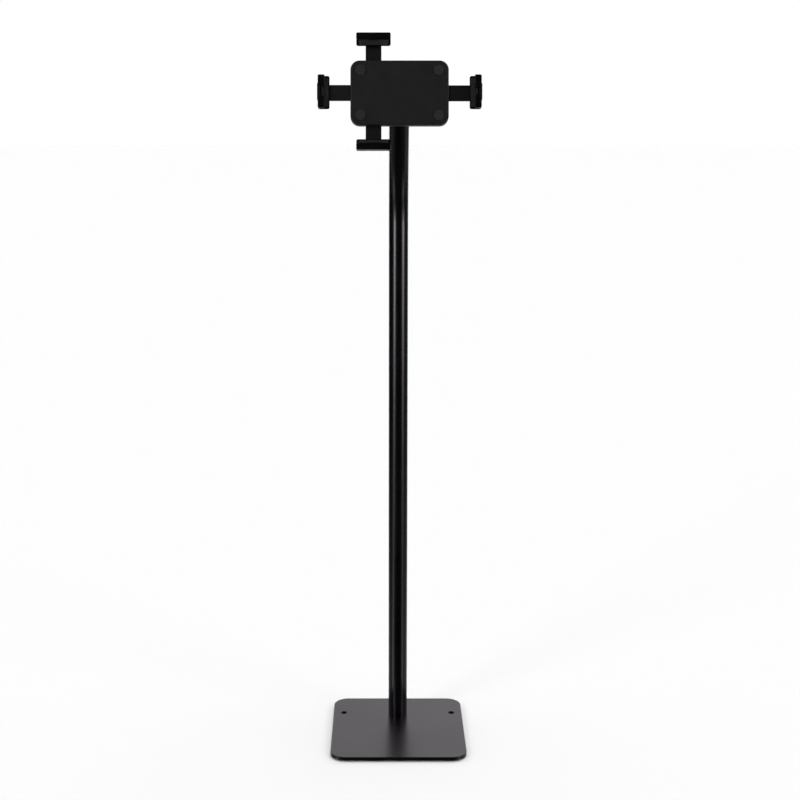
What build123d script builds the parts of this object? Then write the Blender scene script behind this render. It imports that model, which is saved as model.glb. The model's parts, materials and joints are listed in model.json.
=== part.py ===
"""Adjustable tablet floor stand: a steel base plate, a bent tube and a lockable clamp holder.

Row frame: +Z up, +X to the viewer's right, the viewer stands on the -Y side. The origin is at the
bottom centre of the base. The holder is modelled flat in its own frame (u right, v up along the
face, n out of the face) and then laid on the leaning face plane. All sizes are in millimetres.
"""

from build123d import *

import os
from math import acos, cos, pi, radians, sin, tan

# Base plate and its feet
PLATE_SIDE = 222.5
PLATE_T = 6.0
PLATE_CORNER_R = 25.0
PLATE_EDGE_BREAK = 0.6
FOOT_D = 20.0
FOOT_T = 1.5
FOOT_INSET = 20.0
FIXING_D = 10.0
FIXING_SIDE_INSET = 18.0
FIXING_REAR_INSET = 58.0
FIXING_EDGE_BREAK = 0.5

# Pole: a round tube, straight and then bent forward
TUBE_D = 31.8
TUBE_WALL = 1.5
POLE_REAR_INSET = 62.5
POLE_STRAIGHT = 852.0
BEND_R = 200.0
BEND_DEG = 30.0
POLE_TOP_RUN = 82.0
TUBE_FIT = 0.05

# Plug in the pole's foot and the screws that hold the plate to it
PLUG_L = 24.0
BASE_SCREW_D = 5.0
BASE_SCREW_HEAD_D = 10.0
BASE_SCREW_L = 18.0
BASE_SCREW_PCD = 16.0
BASE_SCREW_COUNT = 3
SCREW_HOLE_CLEAR = 0.25
HEAD_CLEAR = 0.1
TURNED_EDGE_BREAK = 0.4

# Pole head: a spigot in the tube's top, a collar and the tilt knuckle
SPIGOT_L = 42.0
SPIGOT_CHAMFER = 1.5
COLLAR_H = 6.0
COLLAR_CHAMFER = 1.2
KNUCKLE_W = 22.0
KNUCKLE_R = 10.0
PIVOT_REACH = 28.0
HEAD_SCREW_D = 5.0
HEAD_SCREW_L = 9.0
HEAD_SCREW_CAP_D = 9.0
HEAD_SCREW_CAP_H = 2.6
HEAD_SCREW_CAP_EDGE = 1.2
HEAD_SCREW_FIRST = 13.0
HEAD_SCREW_PITCH = 16.0

# Tilt joint
TILT_BOLT_D = 8.0
TILT_BOLT_HEAD_D = 13.0
TILT_BOLT_HEAD_H = 5.0
TILT_NUT_AF = 13.0
TILT_NUT_H = 7.5
TILT_BOLT_TAIL = 1.5
TILT_WASHER_D = 19.0
TILT_WASHER_T = 1.1
RUNNING_GAP = 0.1
RUNNING_FIT = 0.05
EAR_T = 5.0
EAR_FOOT_HALF = 14.0
PIVOT_BACK = 35.0
FACE_LEAN_DEG = 10.0

# Turn joint between landscape and portrait
SWIVEL_DISC_D = 46.0
SWIVEL_DISC_T = 4.0
SWIVEL_DISC_CHAMFER = 0.8
FRICTION_DISC_D = 44.0
FRICTION_DISC_T = 1.0
SPINDLE_D = 16.0
SPINDLE_COVER_CLEAR = 0.4
ROTOR_SIDE = 56.0
ROTOR_T = 2.5
ROTOR_CORNER_R = 8.0
ROTOR_SCREW_INSET = 8.0
ROTOR_SCREW_D = 4.0
ROTOR_SCREW_HEAD_D = 7.6
ROTOR_SCREW_L = 8.5
ROTOR_BOSS_D = 8.0
ROTOR_BOSS_H = 4.6
SPINDLE_WASHER_D = 26.0
SPINDLE_WASHER_T = 2.0
WAVE_WASHER_T = 0.4
WAVE_WASHER_ROOM = 0.5
WAVE_WASHER_BAND = 3.6
SPINDLE_SCREW_D = 5.0
SPINDLE_SCREW_HEAD_D = 8.0
SPINDLE_SCREW_L = 10.0

# Arms: bent steel strips with a toothed slot, one above the other in four layers
ARM_T = 2.0
ARM_W = 24.0
ARM_BEND_INNER_R = 1.0
ARM_UPRIGHT_TOP = 9.0
ARM_RAIL = 4.0
LAYER_GAP = 0.4
SIDE_HALF_OPENING = 120.0
SIDE_TRAVEL_IN = 22.0
SIDE_TRAVEL_OUT = 11.0
TALL_HALF_OPENING = 84.75
TALL_TRAVEL_IN = 19.75
TALL_TRAVEL_OUT = 7.75
TALL_PAIR_LEFT = 39.5

# Rack and pinion teeth
MODULE = 1.0
PINION_TEETH = 12
PRESSURE_DEG = 25.0
ADDENDUM_SHARE = 0.9
DEDENDUM_SHARE = 1.15
BACKLASH = 0.15
PINION_T = 4.2
PINION_PIN_D = 5.0
PINION_PIN_HEAD_D = 9.0
PINION_PIN_HEAD_T = 1.0
PINION_PIN_SEAT = 1.6
PINION_END_GAP = 0.2
SLOT_END_CLEAR = 0.8
SLOT_PLAIN_CLEAR = 0.6

# Jaws
SIDE_JAW_W = 50.0
TALL_JAW_W = 52.0
JAW_WALL = 3.5
SIDE_STEEL_PROUD = 0.9
TALL_STEEL_INSET = 2.0
JAW_DEPTH = 8.6
LIP_T = 2.6
LIP_OVERLAP = 7.0
LIP_CORNER_R = 2.0
LIP_EDGE_R = 1.3
JAW_END_R = 2.2
LEDGE_L = 14.0
LEDGE_T = 2.0
LEDGE_CORNER_R = 3.0
JAW_FOOT_W = 20.0
JAW_FOOT_INSET = 1.0
JAW_FOOT_TO_BEND = 0.5
JAW_CHANNEL_CLEAR = 0.2
LEFT_NOTCH_W = 14.5
RIGHT_NOTCH_W = 8.2
NOTCH_CORNER_R = 1.5
LINER_T = 1.0
LINER_INSET = 1.5
LINER_END_INSET = 3.5
LIP_LINER_T = 0.6
LIP_LINER_INSET = 1.2
LIP_LINER_NOTCH_GAP = 2.0
JAW_SCREW_D = 3.0
JAW_SCREW_HEAD_D = 5.4
JAW_SCREW_HALF_PITCH = 6.5
JAW_SCREW_IN = 6.5
JAW_SCREW_COVER = 0.6

# Holder housing
SEAT_PAD_T = 1.5
SEAT_PAD_D = 16.0
SEAT_PAD_INSET = 15.0
SHELL_FRONT_T = 2.2
SHELL_WALL = 2.4
SHELL_CORNER_R = 14.0
SHELL_EDGE_R = 1.8
COVER_T = 2.3
COVER_EDGE_BREAK = 0.8
WINDOW_SIDE_CLEAR = 0.3
RIB_T = 2.0
RIB_GAP = 0.3
RIB_HALF_PITCH = 9.0
RIB_L = 5.0
RIB_LEAD = 2.4
COVER_SCREW_D = 3.0
COVER_SCREW_HEAD_D = 5.6
COVER_SCREW_L = 9.0
COVER_BOSS_D = 7.6
COVER_BOSS_INSET = 8.5

# Key lock with its two-lobed cam
CAM_GAP = 0.4
CAM_REACH = 9.2
CAM_LOBE_R = 3.0
CAM_CORE_R = 6.0
CAM_END_GAP = 0.2
CAM_TO_WALL = 1.8
LOCK_BARREL_D = 16.0
LOCK_FLANGE_D = 19.0
LOCK_FLANGE_T = 1.5
LOCK_BOSS_D = 23.0
LOCK_BOSS_H = 13.0
LOCK_BOSS_EDGE_BREAK = 1.0
LOCK_CORE_D = 10.0
LOCK_CORE_PROUD = 0.4
LOCK_TAIL_SIDE = 5.0
LOCK_TAIL_SHORT = 0.4
KEYWAY_W = 1.2
KEYWAY_H = 6.0
KEYWAY_DEPTH = 8.0

# Drive recesses of the screws, and one overrun that serves all cuts
SOCKET_SHARE = 0.26
SOCKET_DEPTH_SHARE = 0.34
OVERRUN = 2.0

# Places worked out from the sizes above
PLATE_TOP = FOOT_T + PLATE_T
POLE_Y = PLATE_SIDE / 2 - POLE_REAR_INSET
TUBE_R = TUBE_D / 2
TUBE_BORE_R = TUBE_R - TUBE_WALL
BEND = radians(BEND_DEG)
LEAN = radians(FACE_LEAN_DEG)

POLE_FOOT = Vector(0, POLE_Y, PLATE_TOP)
BEND_START = POLE_FOOT + Vector(0, 0, POLE_STRAIGHT)


def on_bend(angle):
    """The point of the pole's axis where the bend has turned by this angle."""
    return BEND_START + Vector(0, -BEND_R * (1 - cos(angle)), BEND_R * sin(angle))


POLE_UP = Vector(0, -sin(BEND), cos(BEND))
POLE_END = on_bend(BEND) + POLE_UP * POLE_TOP_RUN
PIVOT = POLE_END + POLE_UP * PIVOT_REACH
FACE_NORMAL = Vector(0, -cos(LEAN), sin(LEAN))
FACE_ORIGIN = PIVOT + FACE_NORMAL * PIVOT_BACK
HEAD_PLANE = Plane(origin=POLE_END, x_dir=(1, 0, 0), z_dir=POLE_UP)
FACE_PLANE = Plane(origin=FACE_ORIGIN, x_dir=(1, 0, 0), z_dir=FACE_NORMAL)

# Depths in the holder's frame, from the seat pads' face at zero towards the pole
SHELL_FRONT = -SEAT_PAD_T
SHELL_INSIDE = SHELL_FRONT - SHELL_FRONT_T
LEDGE_BACK = -LINER_T - LEDGE_T
LAYER_STEP = ARM_T + LAYER_GAP


def layer_front(layer):
    """Front face of an arm's strip, layers counted from 0 behind the shell's front."""
    return SHELL_INSIDE - LAYER_GAP - layer * LAYER_STEP


COVER_INSIDE = layer_front(3) - ARM_T - LAYER_GAP
COVER_OUTSIDE = COVER_INSIDE - COVER_T
ROTOR_BACK = COVER_OUTSIDE - ROTOR_T
FRICTION_BACK = ROTOR_BACK - RUNNING_GAP - FRICTION_DISC_T
SWIVEL_FRONT = FRICTION_BACK - RUNNING_GAP
SWIVEL_BACK = SWIVEL_FRONT - SWIVEL_DISC_T
SPINDLE_END = COVER_INSIDE + WAVE_WASHER_ROOM
LOCK_BACK = COVER_OUTSIDE - LOCK_BOSS_H

# Rack and pinion places
PITCH = pi * MODULE
PRESSURE = radians(PRESSURE_DEG)
PINION_R = MODULE * PINION_TEETH / 2
PINION_TIP_R = PINION_R + ADDENDUM_SHARE * MODULE
PINION_ROOT_R = PINION_R - DEDENDUM_SHARE * MODULE
PINION_BASE_R = PINION_R * cos(PRESSURE)
RACK_TIP_Y = PINION_R - ADDENDUM_SHARE * MODULE
RACK_ROOT_Y = PINION_R + DEDENDUM_SHARE * MODULE
SLOT_REACH = PINION_TIP_R + SLOT_END_CLEAR
TOOTH_THICKNESS = PITCH / 2 - BACKLASH
SIDE_STRIP_END = SIDE_TRAVEL_OUT + SLOT_REACH + ARM_RAIL
TALL_STRIP_END = TALL_TRAVEL_OUT + SLOT_REACH + ARM_RAIL

# Housing outline: wide enough for the lock, tall enough for the arms when they are pushed in
LOCK_U = -TALL_PAIR_LEFT - ARM_W / 2 - CAM_GAP - CAM_REACH
LOCK_V = -ARM_W / 2 - CAM_GAP - CAM_REACH
SHELL_HALF_W = -LOCK_U + CAM_REACH + CAM_TO_WALL + SHELL_WALL
SHELL_HALF_H = TALL_TRAVEL_IN + TALL_STRIP_END + RIB_LEAD + RIB_L + SHELL_WALL
SIDE_RIB_START = SIDE_TRAVEL_IN + SIDE_STRIP_END + RIB_LEAD
TALL_RIB_START = TALL_TRAVEL_IN + TALL_STRIP_END + RIB_LEAD


def tube(outer_r, inner_r, low, high):
    """A ring between two heights of the local Z axis; an inner radius of zero gives a solid disc."""
    section = Circle(outer_r)
    if inner_r > 0:
        section -= Circle(inner_r)
    return Pos(0, 0, low) * extrude(section, high - low)


def block(low, high):
    """A box between two corners."""
    size = Vector(*high) - Vector(*low)
    centre = (Vector(*high) + Vector(*low)) / 2
    return Pos(centre) * Box(size.X, size.Y, size.Z)


def corners(half_x, half_y):
    """The four corners of a rectangle about the origin."""
    return [(sx * half_x, sy * half_y) for sx in (-1, 1) for sy in (-1, 1)]


def countersunk_screw(diameter, head_diameter, length):
    """A screw along -Z with its flat head's face at zero."""
    r = diameter / 2
    head_r = head_diameter / 2
    outline = Polyline((0, 0), (head_r, 0), (r, r - head_r), (r, -length), (0, -length), close=True)
    screw = revolve(Plane.XZ * make_face(outline), Axis.Z)
    socket_depth = SOCKET_DEPTH_SHARE * head_r
    socket = extrude(RegularPolygon(SOCKET_SHARE * head_diameter, 6), -socket_depth)
    return screw - socket


def countersunk_hole(diameter, head_diameter, depth):
    """The hole that such a screw passes through, cut from zero down to -depth."""
    r = diameter / 2 + SCREW_HOLE_CLEAR
    head_r = head_diameter / 2 + HEAD_CLEAR
    wide_r = head_r + OVERRUN
    outline = Polyline(
        (0, OVERRUN), (wide_r, OVERRUN), (r, r - head_r),
        (r, -depth - OVERRUN), (0, -depth - OVERRUN), close=True,
    )
    return revolve(Plane.XZ * make_face(outline), Axis.Z)


def base_screw_places():
    """Where the screws stand round the pole's axis, on the plate's underside, heads down."""
    ring = PolarLocations(BASE_SCREW_PCD / 2, BASE_SCREW_COUNT, start_angle=90)
    return [Pos(0, POLE_Y, FOOT_T) * place * Rot(X=180) for place in ring]


def base_plate():
    half = PLATE_SIDE / 2
    plate = Pos(0, 0, FOOT_T) * extrude(
        RectangleRounded(PLATE_SIDE, PLATE_SIDE, PLATE_CORNER_R), PLATE_T
    )
    plate = chamfer(plate.edges().group_by(Axis.Z)[-1], PLATE_EDGE_BREAK)
    plate = chamfer(plate.edges().group_by(Axis.Z)[0], PLATE_EDGE_BREAK)
    for side in (-1, 1):
        x = side * (half - FIXING_SIDE_INSET)
        y = half - FIXING_REAR_INSET
        hole = tube(FIXING_D / 2, 0, FOOT_T - OVERRUN, PLATE_TOP + OVERRUN)
        rim = Pos(0, 0, PLATE_TOP - FIXING_EDGE_BREAK / 2) * Cone(
            FIXING_D / 2, FIXING_D / 2 + FIXING_EDGE_BREAK, FIXING_EDGE_BREAK
        )
        plate -= Pos(x, y, 0) * (hole + rim)
    for place in base_screw_places():
        plate -= place * countersunk_hole(BASE_SCREW_D, BASE_SCREW_HEAD_D, PLATE_T)
    return plate


def base_feet():
    reach = PLATE_SIDE / 2 - FOOT_INSET
    return [Pos(x, y, 0) * tube(FOOT_D / 2, 0, 0, FOOT_T) for x, y in corners(reach, reach)]


def base_screws():
    screw = countersunk_screw(BASE_SCREW_D, BASE_SCREW_HEAD_D, BASE_SCREW_L)
    return [place * screw for place in base_screw_places()]


def foot_plug():
    plug = Pos(0, POLE_Y, 0) * tube(TUBE_BORE_R, 0, PLATE_TOP, PLATE_TOP + PLUG_L)
    for place in base_screw_places():
        plug -= place * tube(BASE_SCREW_D / 2, 0, -BASE_SCREW_L, 0)
    return plug


def head_screw_places():
    """Two places on the rear of the tube's top run, each looking out along the screw."""
    first = -HEAD_SCREW_FIRST
    second = first - HEAD_SCREW_PITCH
    outward = Rot(X=-90)
    return [HEAD_PLANE.location * Pos(0, TUBE_R, z) * outward for z in (first, second)]


def pole_tube():
    path = Wire(
        [
            Edge.make_line(POLE_FOOT, BEND_START),
            Edge.make_three_point_arc(BEND_START, on_bend(BEND / 2), on_bend(BEND)),
            Edge.make_line(on_bend(BEND), POLE_END),
        ]
    )
    ring = Plane(origin=POLE_FOOT, x_dir=(1, 0, 0), z_dir=(0, 0, 1)) * (
        Circle(TUBE_R) - Circle(TUBE_BORE_R)
    )
    pole = sweep(ring, path=path)
    for place in head_screw_places():
        pole -= place * tube(HEAD_SCREW_D / 2 + SCREW_HOLE_CLEAR, 0, -TUBE_WALL - OVERRUN, OVERRUN)
    return pole


def pole_head():
    spigot_r = TUBE_BORE_R - TUBE_FIT
    spigot = tube(spigot_r, 0, -SPIGOT_L, 0)
    spigot = chamfer(spigot.edges().group_by(Axis.Z)[0], SPIGOT_CHAMFER)
    collar = tube(TUBE_R, 0, 0, COLLAR_H)
    collar = chamfer(collar.edges().group_by(Axis.Z)[-1], COLLAR_CHAMFER)
    half_w = KNUCKLE_W / 2
    tongue = block((-half_w, -KNUCKLE_R, 0), (half_w, KNUCKLE_R, PIVOT_REACH))
    round_end = Pos(-half_w, 0, PIVOT_REACH) * Rot(Y=90) * tube(KNUCKLE_R, 0, 0, KNUCKLE_W)
    bore = Pos(-half_w, 0, PIVOT_REACH) * Rot(Y=90) * tube(
        TILT_BOLT_D / 2 + RUNNING_FIT, 0, -OVERRUN, KNUCKLE_W + OVERRUN
    )
    head = HEAD_PLANE.location * (spigot + collar + tongue + round_end - bore)
    for place in head_screw_places():
        head -= place * tube(HEAD_SCREW_D / 2, 0, -HEAD_SCREW_L, 0)
    return head


def head_screws():
    cap = tube(HEAD_SCREW_CAP_D / 2, 0, 0, HEAD_SCREW_CAP_H)
    cap = chamfer(cap.edges().group_by(Axis.Z)[-1], HEAD_SCREW_CAP_EDGE)
    socket = Pos(0, 0, HEAD_SCREW_CAP_H) * extrude(
        RegularPolygon(SOCKET_SHARE * HEAD_SCREW_CAP_D, 6), -SOCKET_DEPTH_SHARE * HEAD_SCREW_CAP_D / 2
    )
    screw = cap + tube(HEAD_SCREW_D / 2, 0, -HEAD_SCREW_L, 0) - socket
    return [place * screw for place in head_screw_places()]


def ear_inner():
    """Distance from the middle to an ear's inner face."""
    return KNUCKLE_W / 2 + RUNNING_GAP + TILT_WASHER_T


def across(x):
    """A place on the tilt axis, in the holder's frame, with Z along +X."""
    return Pos(x, 0, -PIVOT_BACK) * Rot(Y=90)


def tilt_bracket():
    disc = tube(SWIVEL_DISC_D / 2, 0, SWIVEL_BACK, SWIVEL_FRONT)
    disc = chamfer(disc.edges().group_by(Axis.Z)[0], SWIVEL_DISC_CHAMFER)
    spindle = tube(SPINDLE_D / 2, 0, SWIVEL_FRONT, SPINDLE_END)
    bracket = disc + spindle
    cheek = make_face(
        Polyline(
            (-EAR_FOOT_HALF, SWIVEL_BACK), (EAR_FOOT_HALF, SWIVEL_BACK),
            (KNUCKLE_R, -PIVOT_BACK), (-KNUCKLE_R, -PIVOT_BACK), close=True,
        )
    )
    cheek += Pos(0, -PIVOT_BACK) * Circle(KNUCKLE_R)
    cheek -= Pos(0, -PIVOT_BACK) * Circle(TILT_BOLT_D / 2 + RUNNING_FIT)
    for x in (-ear_inner() - EAR_T, ear_inner()):
        bracket += Pos(x, 0, 0) * extrude(Plane.YZ * cheek, EAR_T)
    thread = tube(SPINDLE_SCREW_D / 2, 0, SPINDLE_END + SPINDLE_WASHER_T - SPINDLE_SCREW_L, OVERRUN)
    return bracket - thread


def tilt_bolt():
    head_face = -ear_inner() - EAR_T
    shank_l = -2 * head_face + TILT_NUT_H + TILT_BOLT_TAIL
    head = tube(TILT_BOLT_HEAD_D / 2, 0, -TILT_BOLT_HEAD_H, 0)
    head = chamfer(head.edges().group_by(Axis.Z)[0], TURNED_EDGE_BREAK)
    socket = Pos(0, 0, -TILT_BOLT_HEAD_H) * extrude(
        RegularPolygon(SOCKET_SHARE * TILT_BOLT_HEAD_D, 6), SOCKET_DEPTH_SHARE * TILT_BOLT_HEAD_D / 2
    )
    return across(head_face) * (head + tube(TILT_BOLT_D / 2, 0, 0, shank_l) - socket)


def tilt_nut():
    nut = extrude(RegularPolygon(TILT_NUT_AF / 2, 6, major_radius=False), TILT_NUT_H)
    dome = tube(TILT_NUT_AF / 2, 0, TILT_NUT_H, TILT_NUT_H + TURNED_EDGE_BREAK)
    nut = nut + dome - tube(TILT_BOLT_D / 2, 0, -OVERRUN, TILT_NUT_H + OVERRUN)
    return across(ear_inner() + EAR_T) * nut


def tilt_washers():
    washer = tube(TILT_WASHER_D / 2, TILT_BOLT_D / 2 + RUNNING_FIT, 0, TILT_WASHER_T)
    return [across(-ear_inner()) * washer, across(ear_inner() - TILT_WASHER_T) * washer]


def friction_disc():
    return tube(
        FRICTION_DISC_D / 2, SPINDLE_D / 2 + RUNNING_FIT, FRICTION_BACK, FRICTION_BACK + FRICTION_DISC_T
    )


def rotor_screw_places():
    reach = ROTOR_SIDE / 2 - ROTOR_SCREW_INSET
    return [Pos(x, y, ROTOR_BACK) * Rot(X=180) for x, y in corners(reach, reach)]


def rotor_plate():
    plate = Pos(0, 0, ROTOR_BACK) * extrude(
        RectangleRounded(ROTOR_SIDE, ROTOR_SIDE, ROTOR_CORNER_R), ROTOR_T
    )
    plate -= tube(SPINDLE_D / 2 + RUNNING_FIT, 0, ROTOR_BACK - OVERRUN, COVER_OUTSIDE + OVERRUN)
    for place in rotor_screw_places():
        plate -= place * countersunk_hole(ROTOR_SCREW_D, ROTOR_SCREW_HEAD_D, ROTOR_T)
    return plate


def rotor_screws():
    screw = countersunk_screw(ROTOR_SCREW_D, ROTOR_SCREW_HEAD_D, ROTOR_SCREW_L)
    return [place * screw for place in rotor_screw_places()]


def wave_washer():
    outer = SPINDLE_D / 2 + SPINDLE_COVER_CLEAR + WAVE_WASHER_BAND
    inner = SPINDLE_D / 2 + SPINDLE_COVER_CLEAR
    middle = (COVER_INSIDE + SPINDLE_END) / 2
    return tube(outer, inner, middle - WAVE_WASHER_T / 2, middle + WAVE_WASHER_T / 2)


def spindle_washer():
    front = SPINDLE_END + SPINDLE_WASHER_T
    washer = tube(SPINDLE_WASHER_D / 2, 0, SPINDLE_END, front)
    return washer - Pos(0, 0, front) * countersunk_hole(
        SPINDLE_SCREW_D, SPINDLE_SCREW_HEAD_D, SPINDLE_WASHER_T
    )


def spindle_screw():
    screw = countersunk_screw(SPINDLE_SCREW_D, SPINDLE_SCREW_HEAD_D, SPINDLE_SCREW_L)
    return Pos(0, 0, SPINDLE_END + SPINDLE_WASHER_T) * screw


def shell_outline():
    return RectangleRounded(2 * SHELL_HALF_W, 2 * SHELL_HALF_H, SHELL_CORNER_R)


def shell_inside_outline():
    return RectangleRounded(
        2 * (SHELL_HALF_W - SHELL_WALL), 2 * (SHELL_HALF_H - SHELL_WALL), SHELL_CORNER_R - SHELL_WALL
    )


def cover_screw_places():
    reach_u = SHELL_HALF_W - COVER_BOSS_INSET
    reach_v = SHELL_HALF_H - COVER_BOSS_INSET
    return corners(reach_u, reach_v)


def side_ribs(start, end, foot, tip):
    """Two ribs along u that guide a side arm's strip, one near each of its edges."""
    return [
        block((start, v - RIB_T / 2, min(foot, tip)), (end, v + RIB_T / 2, max(foot, tip)))
        for v in (-RIB_HALF_PITCH, RIB_HALF_PITCH)
    ]


def tall_ribs(start, end, foot, tip):
    """Two ribs along v that guide the top or bottom arm's strip."""
    return [
        block((u - RIB_T / 2, start, min(foot, tip)), (u + RIB_T / 2, end, max(foot, tip)))
        for u in (-TALL_PAIR_LEFT - RIB_HALF_PITCH, -TALL_PAIR_LEFT + RIB_HALF_PITCH)
    ]


def arm_window(arm):
    """The opening in the shell's wall that an arm's strip runs through, in the arm's own frame."""
    wall = SHELL_HALF_W if arm["side"] else SHELL_HALF_H
    front = layer_front(arm["layer"])
    half = ARM_W / 2 + WINDOW_SIDE_CLEAR
    cut = block(
        (wall - SHELL_WALL - OVERRUN, -half, front - ARM_T - LAYER_GAP),
        (wall + OVERRUN, half, front + LAYER_GAP),
    )
    return arm["place"] * cut


def front_shell():
    depth = SHELL_FRONT - COVER_INSIDE
    outside = Pos(0, 0, COVER_INSIDE) * extrude(shell_outline(), depth)
    outside = fillet(outside.edges().group_by(Axis.Z)[-1], SHELL_EDGE_R)
    room = Pos(0, 0, COVER_INSIDE - OVERRUN) * extrude(
        shell_inside_outline(), SHELL_INSIDE - COVER_INSIDE + OVERRUN
    )
    shell = outside - room
    for x, y in cover_screw_places():
        shell += Pos(x, y, 0) * tube(COVER_BOSS_D / 2, 0, COVER_INSIDE, SHELL_INSIDE)
    inner_u = SHELL_HALF_W - SHELL_WALL
    inner_v = SHELL_HALF_H - SHELL_WALL
    ribs = side_ribs(SIDE_RIB_START, inner_u, SHELL_INSIDE, layer_front(1) + RIB_GAP)
    ribs += tall_ribs(TALL_RIB_START, inner_v, SHELL_INSIDE, layer_front(2) + RIB_GAP)
    ribs += tall_ribs(-inner_v, -TALL_RIB_START, SHELL_INSIDE, layer_front(3) + RIB_GAP)
    for rib in ribs:
        shell += rib
    for arm in ARMS.values():
        shell -= arm_window(arm)
    for x, y in cover_screw_places():
        shell -= Pos(x, y, 0) * tube(
            COVER_SCREW_D / 2, 0, COVER_INSIDE - OVERRUN, COVER_OUTSIDE + COVER_SCREW_L
        )
    return shell - tube(PINION_PIN_D / 2, 0, SHELL_INSIDE - OVERRUN, SHELL_INSIDE + PINION_PIN_SEAT)


def rear_cover():
    cover = Pos(0, 0, COVER_OUTSIDE) * extrude(shell_outline(), COVER_T)
    cover = chamfer(cover.edges().group_by(Axis.Z)[0], COVER_EDGE_BREAK)
    reach = ROTOR_SIDE / 2 - ROTOR_SCREW_INSET
    for x, y in corners(reach, reach):
        cover += Pos(x, y, 0) * tube(ROTOR_BOSS_D / 2, 0, COVER_INSIDE, COVER_INSIDE + ROTOR_BOSS_H)
    lock_boss = tube(LOCK_BOSS_D / 2, 0, LOCK_BACK, COVER_OUTSIDE)
    lock_boss = chamfer(lock_boss.edges().group_by(Axis.Z)[0], LOCK_BOSS_EDGE_BREAK)
    cover += Pos(LOCK_U, LOCK_V, 0) * lock_boss
    inner_u = SHELL_HALF_W - SHELL_WALL - RIB_GAP
    inner_v = SHELL_HALF_H - SHELL_WALL - RIB_GAP
    left_rib_end = -TALL_PAIR_LEFT - ARM_W / 2 - RIB_T
    ribs = side_ribs(-inner_u, left_rib_end, COVER_INSIDE, layer_front(0) - ARM_T - RIB_GAP)
    ribs += side_ribs(SIDE_RIB_START, inner_u, COVER_INSIDE, layer_front(1) - ARM_T - RIB_GAP)
    ribs += tall_ribs(TALL_RIB_START, inner_v, COVER_INSIDE, layer_front(2) - ARM_T - RIB_GAP)
    for rib in ribs:
        cover += rib
    for x, y in corners(reach, reach):
        cover -= Pos(x, y, 0) * tube(
            ROTOR_SCREW_D / 2, 0, COVER_OUTSIDE - OVERRUN, ROTOR_BACK + ROTOR_SCREW_L
        )
    for x, y in cover_screw_places():
        seat = Pos(x, y, COVER_OUTSIDE) * Rot(X=180)
        cover -= seat * countersunk_hole(COVER_SCREW_D, COVER_SCREW_HEAD_D, COVER_T)
    cover -= tube(
        SPINDLE_D / 2 + SPINDLE_COVER_CLEAR, 0, COVER_OUTSIDE - OVERRUN, COVER_INSIDE + OVERRUN
    )
    cover -= Pos(LOCK_U, LOCK_V, 0) * tube(
        LOCK_BARREL_D / 2, 0, LOCK_BACK - OVERRUN, COVER_INSIDE + OVERRUN
    )
    return cover - Pos(-TALL_PAIR_LEFT, 0, 0) * tube(
        PINION_PIN_D / 2, 0, COVER_INSIDE - PINION_PIN_SEAT, COVER_INSIDE + OVERRUN
    )


def cover_screws():
    screw = countersunk_screw(COVER_SCREW_D, COVER_SCREW_HEAD_D, COVER_SCREW_L)
    return [Pos(x, y, COVER_OUTSIDE) * Rot(X=180) * screw for x, y in cover_screw_places()]


def seat_pads():
    pad = tube(SEAT_PAD_D / 2, 0, SHELL_FRONT, 0)
    reach_u = SHELL_HALF_W - SEAT_PAD_INSET
    reach_v = SHELL_HALF_H - SEAT_PAD_INSET
    return [Pos(x, y, 0) * pad for x, y in corners(reach_u, reach_v)]


def lock_barrel():
    body = tube(LOCK_BARREL_D / 2, 0, LOCK_BACK, COVER_INSIDE)
    flange = tube(LOCK_FLANGE_D / 2, 0, LOCK_BACK - LOCK_FLANGE_T, LOCK_BACK)
    flange = chamfer(flange.edges().group_by(Axis.Z)[0], TURNED_EDGE_BREAK)
    bore = tube(
        LOCK_CORE_D / 2 + RUNNING_FIT, 0, LOCK_BACK - LOCK_FLANGE_T - OVERRUN, COVER_INSIDE + OVERRUN
    )
    return Pos(LOCK_U, LOCK_V, 0) * (body + flange - bore)


def lock_core():
    back = LOCK_BACK - LOCK_FLANGE_T - LOCK_CORE_PROUD
    core = tube(LOCK_CORE_D / 2, 0, back, COVER_INSIDE)
    half = LOCK_TAIL_SIDE / 2
    tail_end = SHELL_INSIDE - CAM_END_GAP - LOCK_TAIL_SHORT
    core += block((-half, -half, COVER_INSIDE), (half, half, tail_end))
    keyway = block(
        (-KEYWAY_W / 2, -KEYWAY_H / 2, back - OVERRUN), (KEYWAY_W / 2, KEYWAY_H / 2, back + KEYWAY_DEPTH)
    )
    return Pos(LOCK_U, LOCK_V, 0) * (core - keyway)


def lock_cam():
    """Drawn unlocked: both lobes point away from the arms, and a half turn brings them in."""
    lobe_centre = CAM_REACH - CAM_LOBE_R
    plan = Circle(CAM_CORE_R)
    for angle in (180, 270):
        lobe = Pos(lobe_centre, 0) * Circle(CAM_LOBE_R)
        lobe += Pos(lobe_centre / 2, 0) * Rectangle(lobe_centre, 2 * CAM_LOBE_R)
        plan += Rot(Z=angle) * lobe
    plan -= Rectangle(LOCK_TAIL_SIDE, LOCK_TAIL_SIDE)
    low = COVER_INSIDE + CAM_END_GAP
    high = SHELL_INSIDE - LAYER_GAP - CAM_END_GAP
    return Pos(LOCK_U, LOCK_V, low) * extrude(plan, high - low)


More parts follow.
